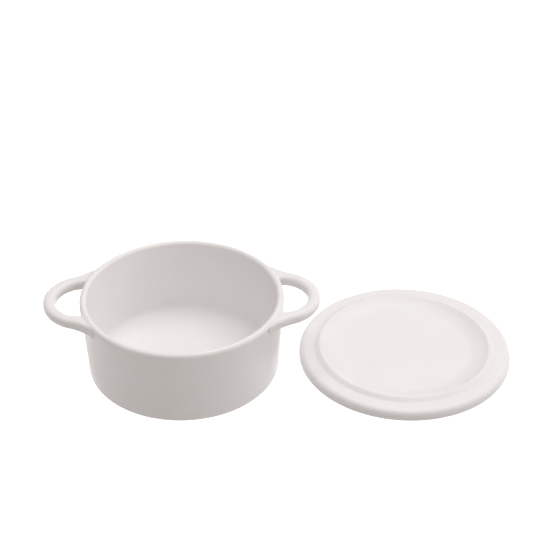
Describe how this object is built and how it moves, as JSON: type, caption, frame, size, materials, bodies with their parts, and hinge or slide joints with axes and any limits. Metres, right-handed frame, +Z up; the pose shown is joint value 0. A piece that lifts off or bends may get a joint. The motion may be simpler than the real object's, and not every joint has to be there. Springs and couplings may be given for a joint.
{
  "type": "lidded porcelain casserole",
  "caption": "Small round white porcelain pot with loop handles just below its lip, and a flat lid that lies beside it with its locating ring up.",
  "frame": {"origin": "middle of the pot's foot, on the surface that the pot and its lid stand on", "axes": "+Z up, the pot's two handles along X, the lid on the +X side, the viewer on the -Y side"},
  "size_m": [0.3023, 0.1386, 0.0554],
  "materials": {
    "white_glaze": "clear gloss glaze over white porcelain",
    "bisque": "matt unglazed porcelain"
  },
  "bodies": {
    "pot": {"bowl": "white_glaze", "foot_ring": "bisque", "left_handle": "white_glaze", "right_handle": "white_glaze"},
    "lid": {"lid_plate": "white_glaze", "lid_locating_ring": "white_glaze"}
  },
  "joints": [
    {"name": "lid_turn", "type": "hinge", "parent": "pot", "child": "lid", "pos_m": [0.07225, 0.00145, 0.03685], "axis": [0.0201, -0.9998, 0], "range_deg": [0, 180]}
  ]
}
